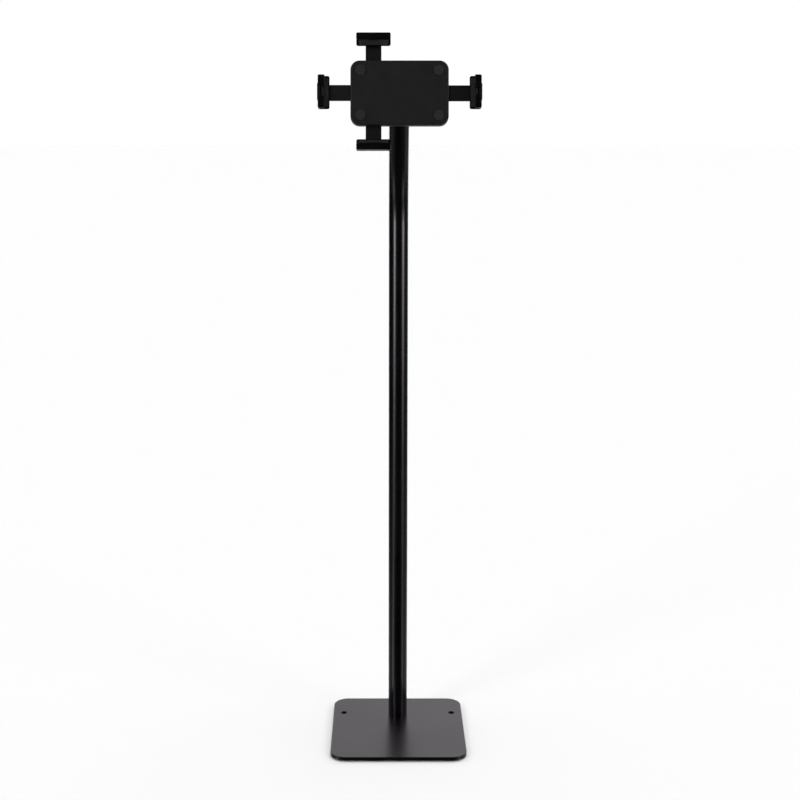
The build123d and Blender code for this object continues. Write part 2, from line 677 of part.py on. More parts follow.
def rack_slot(travel_in, travel_out):
    """The slot of an arm's strip: one long edge is plain, the other is cut into rack teeth."""
    low = -travel_out - SLOT_REACH
    high = travel_in + SLOT_REACH
    plain = PINION_TIP_R + SLOT_PLAIN_CLEAR
    slot = Pos((low + high) / 2, (plain - RACK_ROOT_Y) / 2) * Rectangle(high - low, plain + RACK_ROOT_Y)
    tip_half = TOOTH_THICKNESS / 2 - ADDENDUM_SHARE * MODULE * tan(PRESSURE)
    root_half = TOOTH_THICKNESS / 2 + DEDENDUM_SHARE * MODULE * tan(PRESSURE)
    tooth = make_face(
        Polyline(
            (-root_half, -RACK_ROOT_Y), (-tip_half, -RACK_TIP_Y),
            (tip_half, -RACK_TIP_Y), (root_half, -RACK_ROOT_Y), close=True,
        )
    )
    first = int(low / PITCH) - 1
    last = int(high / PITCH) + 1
    for k in range(first, last + 1):
        centre = (k + 0.5) * PITCH
        if centre - root_half > low and centre + root_half < high:
            slot -= Pos(centre, 0) * tooth
    return slot


def bend_start(arm):
    """Where an arm's flat strip ends and its bend begins."""
    return arm["steel_outer"] - ARM_T - ARM_BEND_INNER_R


def strip_profile(arm):
    """Side view of an arm: a flat strip that bends up at its outer end."""
    outer = arm["steel_outer"]
    top = arm["steel_top"]
    end = -arm["strip_end"]
    front = layer_front(arm["layer"])
    inner = outer - ARM_T
    back = front - ARM_T
    r_in = ARM_BEND_INNER_R
    r_out = r_in + ARM_T
    centre = Vector(bend_start(arm), front + r_in)
    down_out = Vector(cos(pi / 4), -sin(pi / 4))
    edges = [
        Edge.make_line((end, back), (centre.X, back)),
        Edge.make_three_point_arc((centre.X, back), centre + down_out * r_out, (outer, centre.Y)),
        Edge.make_line((outer, centre.Y), (outer, top)),
        Edge.make_line((outer, top), (inner, top)),
        Edge.make_line((inner, top), (inner, centre.Y)),
        Edge.make_three_point_arc((inner, centre.Y), centre + down_out * r_in, (centre.X, front)),
        Edge.make_line((centre.X, front), (end, front)),
        Edge.make_line((end, front), (end, back)),
    ]
    return Face(Wire(edges))


def jaw_screw_places(arm):
    x = arm["half"] - JAW_SCREW_IN
    z = layer_front(arm["layer"]) - ARM_T
    return [Pos(x, y, z) * Rot(X=180) for y in (-JAW_SCREW_HALF_PITCH, JAW_SCREW_HALF_PITCH)]


def arm_strip(arm):
    front = layer_front(arm["layer"])
    strip = extrude(Plane.XZ * strip_profile(arm), ARM_W / 2, both=True)
    slot = rack_slot(arm["travel_in"], arm["travel_out"])
    strip -= Pos(0, 0, front - ARM_T - OVERRUN) * extrude(slot, ARM_T + 2 * OVERRUN)
    for place in jaw_screw_places(arm):
        strip -= place * countersunk_hole(JAW_SCREW_D, JAW_SCREW_HEAD_D, ARM_T)
    return arm["place"] * strip


def lip_plan(arm):
    """Plan view of a jaw's lip, forked where it has a notch."""
    inner = arm["half"] - LIP_OVERLAP
    outer = arm["half"] + JAW_WALL
    width = outer - inner
    plan = Pos(inner + width / 2, 0) * Rectangle(width, arm["jaw_w"])
    plan = fillet(plan.vertices().group_by(Axis.X)[0], LIP_CORNER_R)
    plan = fillet(plan.vertices().group_by(Axis.X)[-1], JAW_END_R)
    if arm["notch"] > 0:
        plan -= Pos(inner + LIP_OVERLAP / 2, 0) * Rectangle(LIP_OVERLAP, arm["notch"])
        edge = plan.vertices().group_by(Axis.X)[0]
        mouth = sorted(edge, key=lambda v: abs(v.Y))[:2]
        plan = fillet(mouth, NOTCH_CORNER_R)
    return plan


def jaw(arm):
    h = arm["half"]
    width = arm["jaw_w"]
    lip = Pos(0, 0, JAW_DEPTH) * extrude(lip_plan(arm), LIP_T)
    lip = fillet(lip.edges().group_by(Axis.Z)[-1], LIP_EDGE_R)
    wall_plan = Pos(h + JAW_WALL / 2, 0) * Rectangle(JAW_WALL, width)
    wall_plan = fillet(wall_plan.vertices().group_by(Axis.X)[-1], JAW_END_R)
    wall = Pos(0, 0, LEDGE_BACK) * extrude(wall_plan, JAW_DEPTH - LEDGE_BACK)
    ledge_plan = Pos(h - LEDGE_L / 2, 0) * Rectangle(LEDGE_L, width)
    ledge_plan = fillet(ledge_plan.vertices().group_by(Axis.X)[0], LEDGE_CORNER_R)
    ledge = Pos(0, 0, LEDGE_BACK) * extrude(ledge_plan, LEDGE_T)
    foot_half = JAW_FOOT_W / 2
    foot = block(
        (h - LEDGE_L + JAW_FOOT_INSET, -foot_half, layer_front(arm["layer"])),
        (bend_start(arm) - JAW_FOOT_TO_BEND, foot_half, LEDGE_BACK),
    )
    body = lip + wall + ledge + foot
    if arm["side"]:
        channel_half = ARM_W / 2 + JAW_CHANNEL_CLEAR
        body -= block(
            (arm["steel_outer"] - ARM_T, -channel_half, LEDGE_BACK - OVERRUN),
            (arm["steel_outer"] + OVERRUN, channel_half, arm["steel_top"] + JAW_CHANNEL_CLEAR),
        )
    for place in jaw_screw_places(arm):
        body -= place * tube(JAW_SCREW_D / 2, 0, -jaw_screw_length(arm), 0)
    return arm["place"] * body


def jaw_screw_length(arm):
    """Long enough to bite into the ledge through the jaw's foot, and blind under the liner."""
    to_ledge_top = -LINER_T - (layer_front(arm["layer"]) - ARM_T)
    return to_ledge_top - JAW_SCREW_COVER


def jaw_screws(arm):
    screw = countersunk_screw(JAW_SCREW_D, JAW_SCREW_HEAD_D, jaw_screw_length(arm))
    return [arm["place"] * place * screw for place in jaw_screw_places(arm)]


def jaw_liners(arm):
    """Soft liners: one on the ledge and one under each half of the lip."""
    h = arm["half"]
    half_w = arm["jaw_w"] / 2
    ledge_l = LEDGE_L - 2 * LINER_INSET
    ledge = RectangleRounded(ledge_l, arm["jaw_w"] - 2 * LINER_END_INSET, LINER_INSET)
    liners = [Pos(h - LEDGE_L / 2, 0, -LINER_T) * extrude(ledge, LINER_T)]
    start = arm["notch"] / 2 + LIP_LINER_NOTCH_GAP
    end = half_w - LINER_END_INSET
    lip_l = LIP_OVERLAP - 2 * LIP_LINER_INSET
    for side in (-1, 1):
        strip = Pos(h - LIP_OVERLAP / 2, side * (start + end) / 2) * Rectangle(lip_l, end - start)
        liners.append(Pos(0, 0, JAW_DEPTH - LIP_LINER_T) * extrude(strip, LIP_LINER_T))
    return [arm["place"] * liner for liner in liners]


def involute(angle):
    return tan(angle) - angle


def tooth_half_angle(radius):
    """Half of a pinion tooth's angular width at this radius."""
    at_pitch = TOOTH_THICKNESS / 2 / PINION_R
    return at_pitch + involute(PRESSURE) - involute(acos(min(1.0, PINION_BASE_R / radius)))


def polar(radius, angle):
    return Vector(radius * cos(angle), radius * sin(angle))


def pinion():
    """A small gear with involute flanks; one tooth points along +X, so the racks mesh at rest."""
    middle_r = (PINION_BASE_R + PINION_TIP_R) / 2
    step = 2 * pi / PINION_TEETH
    edges = []
    for k in range(PINION_TEETH):
        a = k * step
        base, mid, tip = (tooth_half_angle(r) for r in (PINION_BASE_R, middle_r, PINION_TIP_R))
        root_in = polar(PINION_ROOT_R, a - base)
        base_in = polar(PINION_BASE_R, a - base)
        tip_in = polar(PINION_TIP_R, a - tip)
        tip_out = polar(PINION_TIP_R, a + tip)
        base_out = polar(PINION_BASE_R, a + base)
        root_out = polar(PINION_ROOT_R, a + base)
        edges += [
            Edge.make_line(root_in, base_in),
            Edge.make_three_point_arc(base_in, polar(middle_r, a - mid), tip_in),
            Edge.make_three_point_arc(tip_in, polar(PINION_TIP_R, a), tip_out),
            Edge.make_three_point_arc(tip_out, polar(middle_r, a + mid), base_out),
            Edge.make_line(base_out, root_out),
            Edge.make_three_point_arc(
                root_out, polar(PINION_ROOT_R, a + step / 2), polar(PINION_ROOT_R, a + step - base)
            ),
        ]
    gear = Face(Wire(edges)) - Circle(PINION_PIN_D / 2 + RUNNING_FIT)
    return extrude(gear, PINION_T)


def pinion_place(first_layer, u):
    """A pinion reaches through the strips of two neighbouring layers."""
    middle = layer_front(first_layer) - ARM_T - LAYER_GAP / 2
    return Pos(u, 0, middle - PINION_T / 2)


def wide_pinion():
    return pinion_place(0, 0) * pinion()


def tall_pinion():
    return pinion_place(2, -TALL_PAIR_LEFT) * pinion()


def pinion_pins():
    wide_back = pinion_place(0, 0).position.Z - PINION_END_GAP
    wide = tube(PINION_PIN_D / 2, 0, wide_back, SHELL_INSIDE + PINION_PIN_SEAT)
    wide += tube(PINION_PIN_HEAD_D / 2, 0, wide_back - PINION_PIN_HEAD_T, wide_back)
    tall_front = pinion_place(2, 0).position.Z + PINION_T
    tall = tube(PINION_PIN_D / 2, 0, COVER_INSIDE - PINION_PIN_SEAT, tall_front)
    return [wide, Pos(-TALL_PAIR_LEFT, 0, 0) * tall]


def arm_data(side, layer, place, notch):
    half = SIDE_HALF_OPENING if side else TALL_HALF_OPENING
    jaw_back = half + JAW_WALL
    return {
        "side": side,
        "layer": layer,
        "place": place,
        "notch": notch,
        "half": half,
        "jaw_w": SIDE_JAW_W if side else TALL_JAW_W,
        "steel_outer": jaw_back + SIDE_STEEL_PROUD if side else jaw_back - TALL_STEEL_INSET,
        "steel_top": ARM_UPRIGHT_TOP if side else LEDGE_BACK - JAW_CHANNEL_CLEAR,
        "travel_in": SIDE_TRAVEL_IN if side else TALL_TRAVEL_IN,
        "travel_out": SIDE_TRAVEL_OUT if side else TALL_TRAVEL_OUT,
        "strip_end": SIDE_STRIP_END if side else TALL_STRIP_END,
    }


# Each arm is drawn reaching along +X with its rack at -Y, and turned into place
ARMS = {
    "left": arm_data(True, 0, Rot(Z=180), LEFT_NOTCH_W),
    "right": arm_data(True, 1, Rot(Z=0), RIGHT_NOTCH_W),
    "top": arm_data(False, 2, Pos(-TALL_PAIR_LEFT, 0, 0) * Rot(Z=90), 0),
    "bottom": arm_data(False, 3, Pos(-TALL_PAIR_LEFT, 0, 0) * Rot(Z=-90), 0),
}


def write(name, solids, place=None):
    """Writes one node; a list becomes one file of separate solids."""
    pieces = solids if isinstance(solids, list) else [solids]
    if place is not None:
        pieces = [place * piece for piece in pieces]
    loose = [solid for piece in pieces for solid in piece.solids()]
    node = loose[0] if len(loose) == 1 else Compound(children=loose)
    node.label = name
    export_step(node, os.path.join("parts", name + ".step"))


def main():
    os.makedirs("parts", exist_ok=True)
    write("base_plate", base_plate())
    write("base_feet", base_feet())
    write("base_screws", base_screws())
    write("foot_plug", foot_plug())
    write("pole_tube", pole_tube())
    write("pole_head", pole_head())
    write("head_screws", head_screws())
    holder = FACE_PLANE.location
    write("tilt_bracket", tilt_bracket(), holder)
    write("tilt_bolt", tilt_bolt(), holder)
    write("tilt_nut", tilt_nut(), holder)
    write("tilt_washers", tilt_washers(), holder)
    write("friction_disc", friction_disc(), holder)
    write("spindle_washer", spindle_washer(), holder)
    write("spindle_screw", spindle_screw(), holder)
    write("wave_washer", wave_washer(), holder)
    write("rotor_plate", rotor_plate(), holder)
    write("rotor_screws", rotor_screws(), holder)
    write("front_shell", front_shell(), holder)
    write("rear_cover", rear_cover(), holder)
    write("cover_screws", cover_screws(), holder)
    write("seat_pads", seat_pads(), holder)
    write("lock_barrel", lock_barrel(), holder)
    write("lock_core", lock_core(), holder)
    write("lock_cam", lock_cam(), holder)
    write("pinion_pins", pinion_pins(), holder)
    write("wide_pinion", wide_pinion(), holder)
    write("tall_pinion", tall_pinion(), holder)
    for name, arm in ARMS.items():
        write(name + "_arm", arm_strip(arm), holder)
        write(name + "_jaw", jaw(arm), holder)
        write(name + "_jaw_liners", jaw_liners(arm), holder)
        write(name + "_jaw_screws", jaw_screws(arm), holder)
    for label, point in (("pivot", PIVOT), ("face origin", FACE_ORIGIN)):
        print(label, round(point.X, 4), round(point.Y, 4), round(point.Z, 4))
    print("lock u v", round(LOCK_U, 4), round(LOCK_V, 4))
    print("shell half sizes", round(SHELL_HALF_W, 4), round(SHELL_HALF_H, 4))


main()
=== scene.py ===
"""Looks of the tablet floor stand: finishes for every piece, soft studio light and the camera."""

import json
from math import radians, sin

import bpy
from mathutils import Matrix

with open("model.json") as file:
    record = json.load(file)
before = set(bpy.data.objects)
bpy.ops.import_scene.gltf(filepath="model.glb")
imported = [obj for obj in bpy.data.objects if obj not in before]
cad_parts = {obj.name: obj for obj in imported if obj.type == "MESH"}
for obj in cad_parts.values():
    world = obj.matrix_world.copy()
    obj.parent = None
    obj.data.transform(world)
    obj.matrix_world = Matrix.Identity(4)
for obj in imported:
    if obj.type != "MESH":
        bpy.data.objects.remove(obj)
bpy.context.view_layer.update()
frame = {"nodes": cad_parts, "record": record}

NODES = frame["nodes"]

# Camera, worked out from the plate, the pole's edges and the jaws in the photograph
IMAGE_SIDE = 800.0
SENSOR_MM = 36.0
FOCAL_PX = 1286.0
PRINCIPAL_X = 384.4
PRINCIPAL_Y = 355.1
CAMERA_PITCH_DEG = 9.525
CAMERA_X = -0.023
CAMERA_TO_POLE = 2.0988
CAMERA_HEIGHT = 0.9908
CAMERA_REACH = 1000.0
POLE_Y = 0.04875

# Faces that meet at a larger angle than this keep a sharp edge
SHARP_EDGE_DEG = 28.0

# Noise between the two limits runs through a finish's whole range of tone or gloss
TONE_LIMITS = (0.35, 0.65)
WIDE_TONE_LIMITS = (0.3, 0.7)

# Powder coat. It throws back light with a faint violet cast
COAT_TINT = (1.0, 0.9, 1.0)
COAT_DRIFT_SCALE = 9.0
COAT_DRIFT_DETAIL = 3.0
COAT_SKIN_DETAIL = 2.0
COAT_SKIN_ROUGHNESS = 0.55
COAT_DRIFT_SHARE = 0.6
COAT_SKIN_SHARE = 0.4
COAT_BUMP = 0.5

# Moulded plastic. The fine grain is this many times finer than the cells
PLASTIC_DRIFT_SCALE = 90.0
PLASTIC_DRIFT_DETAIL = 3.0
PLASTIC_DRIFT_ROUGHNESS = 0.6
PLASTIC_FINE_RATIO = 2.5
PLASTIC_FINE_DETAIL = 2.0
PLASTIC_FINE_SHARE = 0.6
PLASTIC_BUMP = 0.6

# Rubber
RUBBER_DETAIL = 4.0
RUBBER_SPECK_ROUGHNESS = 0.7
RUBBER_ROUGH = (0.75, 0.92)
RUBBER_SPECULAR = 0.35
RUBBER_BUMP = 0.7
RUBBER_DEPTH_M = 0.00008

# Bare and plated metal
METAL_MARK_DETAIL = 4.0
METAL_MARK_ROUGHNESS = 0.6
METAL_MARK_SHARE = 0.5
METAL_CLOUD_SCALE = 160.0
METAL_CLOUD_DETAIL = 3.0
METAL_CLOUD_SHARE = 0.5
METAL_BUMP = 0.25
METAL_DEPTH_M = 0.00003

# Floor and the lamp above it
FLOOR_SIZE = 400.0
FLOOR_COLOUR = (0.93, 0.93, 0.93)
TOP_LIGHT_STRENGTH = 1.06
TOP_LIGHT_ANGLE_DEG = 40.0
TOP_LIGHT_PLACE = (0.0, 0.0, 4.0)
TOP_LIGHT_TURN_DEG = (-10.0, 4.0, 0.0)

# What the camera sees behind the stand, and the room that the stand reflects. A direction
# counts as a step further back by this share of how far it points sideways
BACKDROP_WHITE = 1.0
SKY_BACK = 1.12
SKY_FRONT = 0.12
SKY_DARK_Y = -0.05
SKY_WHITE_Y = 0.5
SKY_SIDE_SHARE = 0.4
SKY_START_DEG = 11.0
SKY_FULL_DEG = 21.0
DARK_ROOM = 0.005

# Two tall soft strips in front. The left one leans out towards the floor
STRIP_STRENGTH = 14.5
STRIP_CORE_SHARE = 0.3
STRIP_LEFT_DEG = -44.0
STRIP_LEFT_LEAN_DEG = 45.0
STRIP_LEFT_HALF_DEG = 12.5
STRIP_LEFT_SHARE = 1.0
STRIP_RIGHT_DEG = 58.0
STRIP_RIGHT_LEAN_DEG = 0.0
STRIP_RIGHT_HALF_DEG = 17.0
STRIP_RIGHT_SHARE = 0.62
# How bright the strips are at each height angle, as shares of their strength
STRIP_LEVELS = (
    (-60.0, 0.004), (-45.0, 0.008), (-37.0, 0.014), (-32.0, 0.035), (-28.5, 0.10), (-26.0, 0.25),
    (-23.0, 0.09), (-18.0, 0.021), (-15.0, 0.016), (-11.5, 0.05), (-7.0, 0.24), (-3.5, 1.0),
    (2.0, 0.9), (8.0, 0.0), (18.0, 0.0), (26.0, 1.0), (34.0, 0.0),
)

# Light that the pale floor throws up at both sides
GLOW_STRENGTH = 0.35
GLOW_TOP_DEG = -17.0
GLOW_FULL_DEG = -24.0
GLOW_FADE_DEG = -27.0
GLOW_END_DEG = -38.0
GLOW_INNER_DEG = 40.0
GLOW_OUTER_DEG = 75.0

# A faint light from behind on the right
RIM_STRENGTH = 0.12
RIM_START_DEG = 80.0
RIM_FULL_DEG = 115.0

# A tall panel behind the stand, brighter along its two sides and dimmer towards its foot
PANEL_STRENGTH = 0.7
PANEL_START_DEG = 142.0
PANEL_FULL_DEG = 162.0
PANEL_SIDE_STRENGTH = 3.0
PANEL_SIDE_DEG = 154.0
PANEL_SIDE_HALF_DEG = 9.0
PANEL_TOP_DEG = 14.0
PANEL_FADE_DEG = 6.0
PANEL_FOOT_DEG = -40.0
PANEL_FOOT_SHARE = 0.25


def height_at(angle_deg):
    """The height component of a unit direction at this elevation."""
    return sin(radians(angle_deg))


def opaque(colour):
    return (*colour, 1.0)


class Graph:
    """A thin wrapper round a node tree, so that each material reads as a short list of steps."""

    def __init__(self, tree):
        self.tree = tree

    def node(self, kind, **settings):
        made = self.tree.nodes.new(kind)
        for key, value in settings.items():
            setattr(made, key, value)
        return made

    def link(self, out_socket, in_socket):
        self.tree.links.new(out_socket, in_socket)

    def math(self, operation, a, b=None):
        made = self.node("ShaderNodeMath", operation=operation)
        for socket, value in zip(made.inputs, (a, b)):
            if value is None:
                continue
            if hasattr(value, "is_output"):
                self.link(value, socket)
            else:
                socket.default_value = value
        return made.outputs[0]

    def add(self, a, b):
        return self.math("ADD", a, b)

    def subtract(self, a, b):
        return self.math("SUBTRACT", a, b)

    def times(self, a, b):
        return self.math("MULTIPLY", a, b)

    def size_of(self, a):
        return self.math("ABSOLUTE", a)

    def remap(self, value, limits, to=(0.0, 1.0), smooth=False):
        """Takes the first limit to the first value of to, and the second to the second."""
        made = self.node("ShaderNodeMapRange")
        if smooth:
            made.interpolation_type = "SMOOTHSTEP"
        self.link(value, made.inputs["Value"])
        made.inputs["From Min"].default_value = limits[0]
        made.inputs["From Max"].default_value = limits[1]
        made.inputs["To Min"].default_value = to[0]
        made.inputs["To Max"].default_value = to[1]
        return made.outputs["Result"]

    def mix_colour(self, factor, a, b):
        made = self.node("ShaderNodeMix", data_type="RGBA")
        self.link(factor, made.inputs["Factor"])
        made.inputs["A"].default_value = opaque(a)
        made.inputs["B"].default_value = opaque(b)
        return made.outputs["Result"]

    def noise(self, place, scale, detail=2.0, roughness=0.5):
        made = self.node("ShaderNodeTexNoise")
        self.link(place, made.inputs["Vector"])
        made.inputs["Scale"].default_value = scale
        made.inputs["Detail"].default_value = detail
        made.inputs["Roughness"].default_value = roughness
        return made.outputs["Fac"]

    def object_place(self, stretch=None):
        """Coordinates that stay with the piece, stretched where the grain has a direction."""
        place = self.node("ShaderNodeTexCoord").outputs["Object"]
        if stretch is None:
            return place
        mapping = self.node("ShaderNodeMapping")
        mapping.inputs["Scale"].default_value = stretch
        self.link(place, mapping.inputs["Vector"])
        return mapping.outputs["Vector"]


def new_material(name):
    material = bpy.data.materials.new(name)
    material.use_nodes = True
    tree = material.node_tree
    tree.nodes.clear()
    graph = Graph(tree)
    shader = graph.node("ShaderNodeBsdfPrincipled")
    output = graph.node("ShaderNodeOutputMaterial")
    graph.link(shader.outputs["BSDF"], output.inputs["Surface"])
    return material, graph, shader


def colour_and_gloss(graph, shader, tone, dark, light, gloss, gloss_limits, rough):
    """Mixes the two tones by one noise and the roughness by the same or another."""
    mixed = graph.mix_colour(graph.remap(tone, TONE_LIMITS), dark, light)
    graph.link(mixed, shader.inputs["Base Color"])
    graph.link(graph.remap(gloss, gloss_limits, rough), shader.inputs["Roughness"])


def bump(graph, shader, height, strength, distance):
    made = graph.node("ShaderNodeBump")
    made.inputs["Strength"].default_value = strength
    made.inputs["Distance"].default_value = distance
    graph.link(height, made.inputs["Height"])
    graph.link(made.outputs["Normal"], shader.inputs["Normal"])


def powder_coat(name, dark, light, rough, specular, grain_m, depth_m):
    """Satin powder coat: an even orange-peel skin with a faint drift in tone and gloss."""
    material, graph, shader = new_material(name)
    place = graph.object_place()
    drift = graph.noise(place, COAT_DRIFT_SCALE, COAT_DRIFT_DETAIL)
    skin = graph.noise(place, 1.0 / grain_m, COAT_SKIN_DETAIL, COAT_SKIN_ROUGHNESS)
    gloss = graph.add(graph.times(drift, COAT_DRIFT_SHARE), graph.times(skin, COAT_SKIN_SHARE))
    colour_and_gloss(graph, shader, drift, dark, light, gloss, TONE_LIMITS, rough)
    shader.inputs["Specular IOR Level"].default_value = specular
    shader.inputs["Specular Tint"].default_value = opaque(COAT_TINT)
    bump(graph, shader, skin, COAT_BUMP, depth_m)
    return material


def moulded_plastic(name, dark, light, rough, specular, grain_m, depth_m):
    """Moulded plastic with a fine spark-eroded grain."""
    material, graph, shader = new_material(name)
    place = graph.object_place()
    drift = graph.noise(place, PLASTIC_DRIFT_SCALE, PLASTIC_DRIFT_DETAIL, PLASTIC_DRIFT_ROUGHNESS)
    colour_and_gloss(graph, shader, drift, dark, light, drift, TONE_LIMITS, rough)
    cells = graph.node("ShaderNodeTexVoronoi", feature="SMOOTH_F1")
    graph.link(place, cells.inputs["Vector"])
    cells.inputs["Scale"].default_value = 1.0 / grain_m
    fine = graph.noise(place, PLASTIC_FINE_RATIO / grain_m, PLASTIC_FINE_DETAIL)
    grain = graph.add(cells.outputs["Distance"], graph.times(fine, PLASTIC_FINE_SHARE))
    shader.inputs["Specular IOR Level"].default_value = specular
    bump(graph, shader, grain, PLASTIC_BUMP, depth_m)
    return material


def rubber(name, dark, light, grain_m):
    """Dull rubber with a fine speck."""
    material, graph, shader = new_material(name)
    place = graph.object_place()
    speck = graph.noise(place, 1.0 / grain_m, RUBBER_DETAIL, RUBBER_SPECK_ROUGHNESS)
    mixed = graph.mix_colour(graph.remap(speck, WIDE_TONE_LIMITS), dark, light)
    graph.link(mixed, shader.inputs["Base Color"])
    graph.link(graph.remap(speck, WIDE_TONE_LIMITS, RUBBER_ROUGH), shader.inputs["Roughness"])
    shader.inputs["Specular IOR Level"].default_value = RUBBER_SPECULAR
    bump(graph, shader, speck, RUBBER_BUMP, RUBBER_DEPTH_M)
    return material


def plain_metal(name, dark, light, rough, stretch, scale):
    """Bare or plated metal with fine marks that run one way."""
    material, graph, shader = new_material(name)
    marks = graph.noise(
        graph.object_place(stretch), scale, METAL_MARK_DETAIL, METAL_MARK_ROUGHNESS
    )
    cloud = graph.noise(graph.object_place(), METAL_CLOUD_SCALE, METAL_CLOUD_DETAIL)
    tone = graph.add(
        graph.times(marks, METAL_MARK_SHARE), graph.times(cloud, METAL_CLOUD_SHARE)
    )
    colour_and_gloss(graph, shader, tone, dark, light, tone, WIDE_TONE_LIMITS, rough)
    shader.inputs["Metallic"].default_value = 1.0
    bump(graph, shader, marks, METAL_BUMP, METAL_DEPTH_M)
    return material


# Every finish by its slot name: how it is made, and its tones, roughness, grain and depth
FINISHES = {
    "plate_coat": (powder_coat, {
        "dark": (0.0021, 0.0017, 0.0021), "light": (0.0032, 0.0026, 0.0031),
        "rough": (0.26, 0.31), "specular": 0.55, "grain_m": 0.0012, "depth_m": 0.00003,
    }),
    "pole_coat": (powder_coat, {
        "dark": (0.0012, 0.0009, 0.0013), "light": (0.0019, 0.0015, 0.0020),
        "rough": (0.22, 0.27), "specular": 0.5, "grain_m": 0.0011, "depth_m": 0.00002,
    }),
    "steel_coat": (powder_coat, {
        "dark": (0.0024, 0.0022, 0.0025), "light": (0.0042, 0.0039, 0.0044),
        "rough": (0.34, 0.42), "specular": 0.4, "grain_m": 0.0008, "depth_m": 0.00003,
    }),
    "shell_plastic": (moulded_plastic, {
        "dark": (0.0056, 0.0054, 0.0058), "light": (0.0067, 0.0064, 0.0070),
        "rough": (0.45, 0.51), "specular": 0.35, "grain_m": 0.0009, "depth_m": 0.0001,
    }),
    "jaw_plastic": (moulded_plastic, {
        "dark": (0.0006, 0.0005, 0.0007), "light": (0.0011, 0.0010, 0.0012),
        "rough": (0.28, 0.37), "specular": 0.18, "grain_m": 0.0006, "depth_m": 0.00003,
    }),
    "liner_rubber": (rubber, {
        "dark": (0.010, 0.010, 0.010), "light": (0.017, 0.017, 0.017), "grain_m": 0.0005,
    }),
    "foot_rubber": (rubber, {
        "dark": (0.010, 0.010, 0.010), "light": (0.018, 0.018, 0.018), "grain_m": 0.0007,
    }),
    "zinc": (plain_metal, {
        "dark": (0.42, 0.43, 0.45), "light": (0.62, 0.63, 0.66), "rough": (0.25, 0.42),
        "stretch": (1.0, 1.0, 6.0), "scale": 400.0,
    }),
    "black_fastener": (plain_metal, {
        "dark": (0.025, 0.025, 0.027), "light": (0.05, 0.05, 0.053), "rough": (0.32, 0.45),
        "stretch": (1.0, 1.0, 1.0), "scale": 500.0,
    }),
    "raw_steel": (plain_metal, {
        "dark": (0.36, 0.36, 0.37), "light": (0.52, 0.52, 0.53), "rough": (0.28, 0.4),
        "stretch": (8.0, 1.0, 1.0), "scale": 300.0,
    }),
    "cam_steel": (plain_metal, {
        "dark": (0.4, 0.4, 0.41), "light": (0.58, 0.58, 0.6), "rough": (0.28, 0.4),
        "stretch": (1.0, 6.0, 1.0), "scale": 300.0,
    }),
    "lock_chrome": (plain_metal, {
        "dark": (0.6, 0.6, 0.62), "light": (0.75, 0.75, 0.78), "rough": (0.1, 0.2),
        "stretch": (1.0, 1.0, 1.0), "scale": 300.0,
    }),
    "friction_nylon": (moulded_plastic, {
        "dark": (0.55, 0.54, 0.5), "light": (0.66, 0.65, 0.6),
        "rough": (0.4, 0.5), "specular": 0.4, "grain_m": 0.001, "depth_m": 0.00002,
    }),
}


def dress_pieces():
    """Gives each CAD node its finish and smooth curved faces."""
    materials = {slot: make(slot, **looks) for slot, (make, looks) in FINISHES.items()}
    for subpart in frame["record"]["subparts"]:
        mesh = NODES[subpart["node"]].data
        mesh.materials.clear()
        mesh.materials.append(materials[subpart["material_slot"]])
        mesh.shade_smooth()
        mesh.set_sharp_from_angle(angle=radians(SHARP_EDGE_DEG))


def make_floor():
    """A plain pale floor that keeps the stand's shadow and stays out of its reflections."""
    mesh = bpy.data.meshes.new("studio_floor")
    half = FLOOR_SIZE / 2
    corners = [(-half, -half, 0), (half, -half, 0), (half, half, 0), (-half, half, 0)]
    mesh.from_pydata(corners, [], [(0, 1, 2, 3)])
    floor = bpy.data.objects.new("studio_floor", mesh)
    bpy.context.scene.collection.objects.link(floor)
    material, _, shader = new_material("studio_floor")
    shader.inputs["Base Color"].default_value = opaque(FLOOR_COLOUR)
    shader.inputs["Roughness"].default_value = 1.0
    shader.inputs["Specular IOR Level"].default_value = 0.0
    mesh.materials.append(material)
    floor.visible_glossy = False
    floor.visible_shadow = False


def sky_light(graph, x, y, z):
    """White above, behind and at the sides, dark in front, and a very dim room all round."""
    risen = graph.remap(z, (height_at(SKY_START_DEG), height_at(SKY_FULL_DEG)), smooth=True)
    aside = graph.add(y, graph.times(graph.size_of(x), SKY_SIDE_SHARE))
    sky = graph.remap(aside, (SKY_DARK_Y, SKY_WHITE_Y), (SKY_FRONT, SKY_BACK), smooth=True)
    return graph.add(graph.times(risen, sky), DARK_ROOM)


def strip_level(graph, z):
    """How bright both strips are at this height, from the table of height angles."""
    ramp = graph.node("ShaderNodeValToRGB")
    graph.link(graph.remap(z, (-1.0, 1.0)), ramp.inputs["Fac"])
    elements = ramp.color_ramp.elements
    for angle, level in STRIP_LEVELS:
        element = elements.new((height_at(angle) + 1.0) / 2)
        element.color = opaque((level, level, level))
    elements.remove(elements[0])
    elements.remove(elements[-1])
    return ramp.outputs["Color"]


def strip_light(graph, azimuth, below, level, centre, lean, half, share):
    """One strip, softer towards its sides, that leans outwards below the horizon."""
    upright = graph.subtract(azimuth, graph.times(below, radians(lean)))
    off = graph.size_of(graph.subtract(upright, radians(centre)))
    limits = (radians(STRIP_CORE_SHARE * half), radians(half))
    across = graph.remap(off, limits, (1.0, 0.0), smooth=True)
    return graph.times(graph.times(across, level), STRIP_STRENGTH * share)


